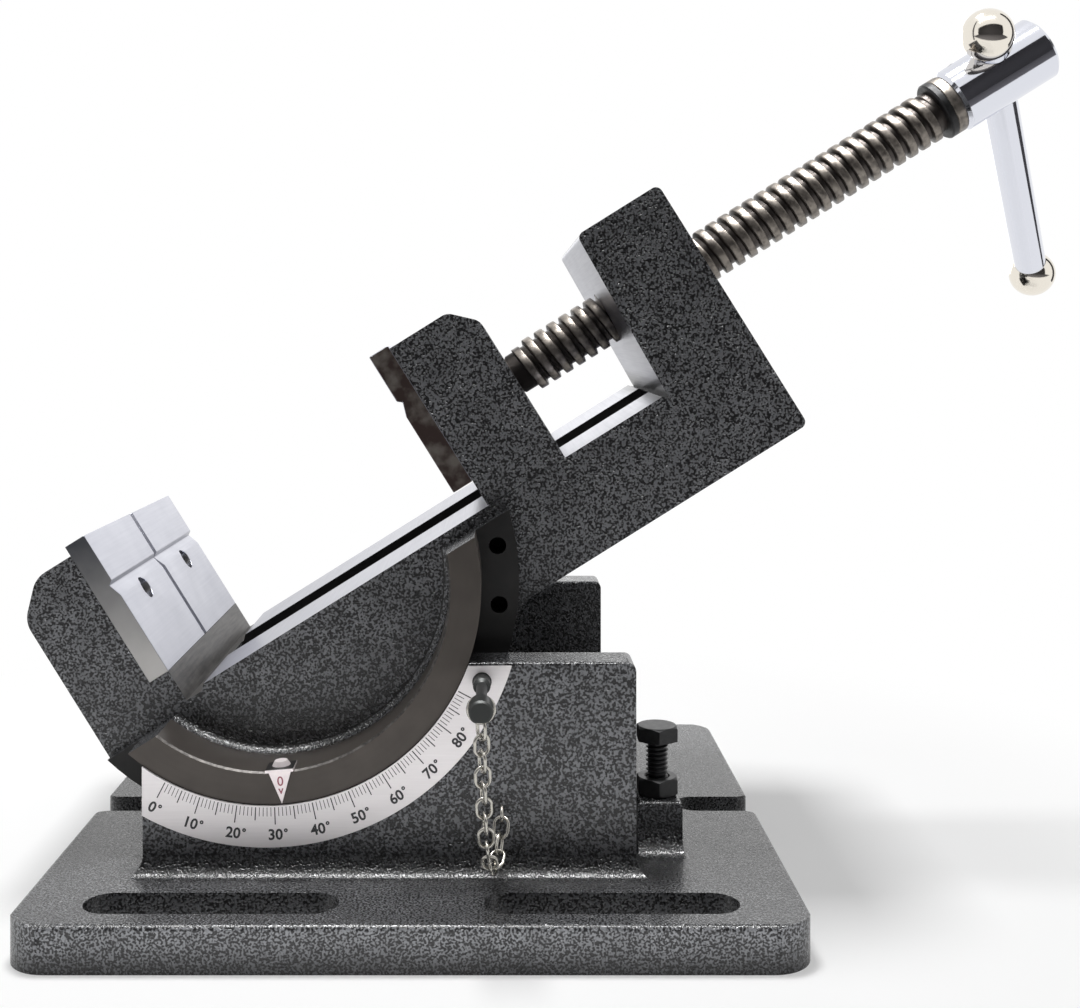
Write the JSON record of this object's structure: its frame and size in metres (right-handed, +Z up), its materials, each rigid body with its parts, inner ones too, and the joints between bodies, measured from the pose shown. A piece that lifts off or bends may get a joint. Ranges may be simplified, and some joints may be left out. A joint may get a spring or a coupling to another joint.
{
  "type": "tilting drill press vise",
  "caption": "Cast iron machine vise whose jaw bed tilts on a half-round trunnion in a slotted base, with a degree scale, index pin, stop bolt and cross-handle lead screw.",
  "frame": {"origin": "centre of the base plate's underside", "axes": "+X to the right towards the screw handle, +Y from the front scale to the rear wall, +Z up"},
  "size_m": [0.3362, 0.181, 0.2578],
  "materials": {
    "cast_enamel": "charcoal hammertone enamel on cast iron",
    "scale_sheet": "printed satin aluminium",
    "black_bolt": "black oxide",
    "pin_steel": "dark phosphated steel",
    "chain_nickel": "nickel plated wire",
    "ground_steel": "surface ground",
    "socket_screw": "black oxide",
    "plain_steel": "machined",
    "screw_steel": "oiled dark steel, bright crests",
    "bright_chrome": "polished chrome plate",
    "ball_nickel": "polished nickel plate",
    "pointer_sheet": "white painted sheet"
  },
  "bodies": {
    "base": {"base_casting": "cast_enamel", "scale_plate": "scale_sheet", "stop_jam_nut": "black_bolt", "pin_ring": "chain_nickel", "pin_chain": "chain_nickel", "chain_eye": "chain_nickel"},
    "stop_bolt": {"stop_bolt": "black_bolt"},
    "index_pin": {"index_pin": "pin_steel"},
    "lock_bolt_left": {"tilt_lock_bolt_left": "black_bolt"},
    "lock_bolt_right": {"tilt_lock_bolt_right": "black_bolt"},
    "vise_body": {"vise_body": "cast_enamel", "fixed_jaw_plate": "ground_steel", "fixed_jaw_screws": "socket_screw", "angle_pointer": "pointer_sheet", "pointer_screw": "pointer_sheet"},
    "movable_jaw": {"movable_jaw": "cast_enamel", "movable_jaw_plate": "ground_steel", "movable_jaw_screws": "socket_screw", "jaw_keeper": "plain_steel", "keeper_screws": "socket_screw", "screw_retaining_pins": "plain_steel"},
    "lead_screw": {"lead_screw": "screw_steel", "screw_collar": "black_bolt", "screw_head": "bright_chrome", "head_pin": "plain_steel"},
    "handle": {"handle_bar": "bright_chrome", "handle_ball_upper": "ball_nickel", "handle_ball_lower": "ball_nickel"}
  },
  "joints": [
    {"name": "tilt", "type": "hinge", "parent": "base", "child": "vise_body", "pos_m": [-0.0401, 0.0122, 0.0883], "axis": [0, -1, 0], "range_deg": [-32, 58]},
    {"name": "jaw_slide", "type": "slide", "parent": "vise_body", "child": "movable_jaw", "axis": [0.848, 0, 0.5299], "range_m": [-0.0943, 0.033]},
    {"name": "screw_turn", "type": "hinge", "parent": "movable_jaw", "child": "lead_screw", "pos_m": [0.18023, 0.0122, 0.23954], "axis": [0.848, 0, 0.5299], "range_deg": [-7400, 2600]},
    {"name": "handle_slide", "type": "slide", "parent": "lead_screw", "child": "handle", "axis": [-0.3844, -0.6884, 0.6152], "range_m": [0, 0.08]},
    {"name": "pin_slide", "type": "slide", "parent": "base", "child": "index_pin", "axis": [0, -1, 0], "range_m": [0, 0.015]},
    {"name": "stop_bolt_height", "type": "slide", "parent": "base", "child": "stop_bolt", "axis": [0, 0, 1], "range_m": [-0.007, 0]},
    {"name": "lock_bolt_left_slide", "type": "slide", "parent": "base", "child": "lock_bolt_left", "axis": [0, 1, 0], "range_m": [0, 0.004]},
    {"name": "lock_bolt_right_slide", "type": "slide", "parent": "base", "child": "lock_bolt_right", "axis": [0, 1, 0], "range_m": [0, 0.004]}
  ],
  "couplings": [
    {"joint": "screw_turn", "follows": "jaw_slide", "rad_per_m": 1365.9}
  ]
}
